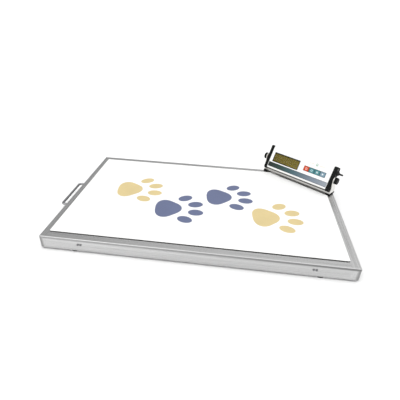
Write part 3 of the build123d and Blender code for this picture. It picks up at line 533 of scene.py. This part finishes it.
def paw(centre, size, turn):
    """Outlines of a plain paw print: a rounded pad and four toes."""
    def place(x, y):
        return (centre[0] + size * (x * math.cos(turn) - y * math.sin(turn)),
                centre[1] + size * (x * math.sin(turn) + y * math.cos(turn)))

    pad = []
    for n in range(48):
        angle = 2 * math.pi * n / 48
        radius = 0.29 * (1 - 0.10 * math.sin(3 * angle) - 0.06 * math.sin(angle))
        pad.append(place(1.12 * radius * math.cos(angle), radius * math.sin(angle) - 0.20))
    toes = ((-0.42, 0.17, 0.45), (-0.16, 0.40, 0.12), (0.16, 0.40, -0.12), (0.42, 0.17, -0.45))
    return [pad] + [oval(place(x, y), (0.115 * size, 0.165 * size), turn + lean) for x, y, lean in toes]


def ink(name, colour):
    return moulded(name, colour, 0.45, 1300.0, 0.1, 0.08)


def mat_print():
    """A trail of plain paw prints across the mat, in place of the mat's original print."""
    place = Matrix.Translation((0.0, 0.0, MAT_HIGH.z))
    span = MAT_HIGH.x - MAT_LOW.x
    depth = MAT_HIGH.y - MAT_LOW.y
    tan, slate = ink("tan_ink", (0.66, 0.53, 0.26)), ink("slate_ink", (0.115, 0.14, 0.25))
    for n in range(4):
        along = 0.22 + 0.185 * n
        across = 0.56 if n % 2 == 0 else 0.36
        centre = (MAT_LOW.x + along * span, MAT_LOW.y + across * depth)
        prints(f"mat_print_{n + 1}", paw(centre, 0.150, math.radians(-82)), place,
               slate if n in (1, 2) else tan, "platform")


def case_place(front):
    """A plane on the case's face: X along the case, Y up it, Z out of the face."""
    return CASE_FRAME @ Matrix.Translation((0.0, front, 0.0)) @ Matrix.Rotation(math.radians(90), 4, "X")


def power_symbol(x, z):
    return ring((x, z), 0.0042, 0.0009, 0.5) + [bar(x - 0.00045, x + 0.00045, z, z + 0.0046)]


def tare_symbol(x, z):
    return ring((x, z), 0.0036, 0.0009)


def hold_symbol(x, z):
    return [bar(x - 0.0027, x - 0.0012, z - 0.0036, z + 0.0036),
            bar(x + 0.0012, x + 0.0027, z - 0.0036, z + 0.0036)]


def mode_symbol(x, z):
    return [[(x - 0.0028, z - 0.0036), (x + 0.0036, z), (x - 0.0028, z + 0.0036)]]


def key_icons():
    """Plain symbols on the keys."""
    white = ink("icon_white", (0.85, 0.85, 0.85))
    symbols = {"power": power_symbol, "tare": tare_symbol, "hold": hold_symbol, "mode": mode_symbol}
    for key, symbol in symbols.items():
        low, high = case_box("key_" + key)
        x, z = (low.x + high.x) / 2, (low.z + high.z) / 2
        prints("icon_" + key, symbol(x, z), case_place(low.y), white, key + "_key")


def panel_mark():
    """A small plain paw print above the keys, in place of the original wording."""
    low, high = case_box("face_panel")
    first, last = case_box("key_power")[0], case_box("key_mode")[1]
    centre = ((first.x + last.x) / 2, (last.z + high.z) / 2 + 0.001)
    place = case_place(low.y)
    prints("panel_mark", paw(centre, 0.010, 0.0), place, ink("sage_ink", (0.30, 0.48, 0.36)), "indicator")
    lines = [bar(centre[0] + start, centre[0] + start + 0.020, centre[1] - 0.0004, centre[1] + 0.0004)
             for start in (-0.030, 0.010)]
    prints("panel_rules", lines, place, ink("ochre_ink", (0.72, 0.50, 0.24)), "indicator")


def display_segments():
    """Unlit seven-segment digits, which show faintly on the liquid crystal."""
    low, high = case_box("display_window")
    digits = 5
    pitch = (high.x - low.x - 0.016) / digits
    width, height, stroke, gap = pitch * 0.62, (high.z - low.z) * 0.56, 0.0021, 0.0003
    middle_z = (low.z + high.z) / 2 - 0.0006
    outlines = []
    for n in range(digits):
        x0 = low.x + 0.008 + pitch * (n + 0.19)
        x1 = x0 + width
        for z in (middle_z - height / 2, middle_z, middle_z + height / 2):
            outlines.append(bar(x0 + stroke, x1 - stroke, z - stroke / 2, z + stroke / 2))
        for side in (x0, x1 - stroke):
            for z0 in (middle_z - height / 2, middle_z):
                foot, head = z0 + stroke / 2 + gap, z0 + height / 2 - stroke / 2 - gap
                outlines.append(bar(side, side + stroke, foot, head))
    face = case_box("display_module")[0].y + 0.0008
    grey = ink("segment_grey", (0.135, 0.110, 0.022))
    prints("display_segments", outlines, case_place(face), grey, "indicator")


# ---- Floor ----------------------------------------------------------------------------------------

def make_floor():
    mesh = bpy.data.meshes.new("floor")
    reach = FLOOR_REACH
    mesh.from_pydata([(-reach, -reach, 0), (reach, -reach, 0), (reach, reach, 0), (-reach, reach, 0)], [],
                     [(0, 1, 2, 3)])
    floor = bpy.data.objects.new("floor", mesh)
    bpy.context.scene.collection.objects.link(floor)
    mesh.materials.append(Shader("floor", (0.97, 0.97, 0.97), 0.9).material)


make_camera()
make_light()
make_floor()
finish_materials()
mat_print()
key_icons()
panel_mark()
display_segments()
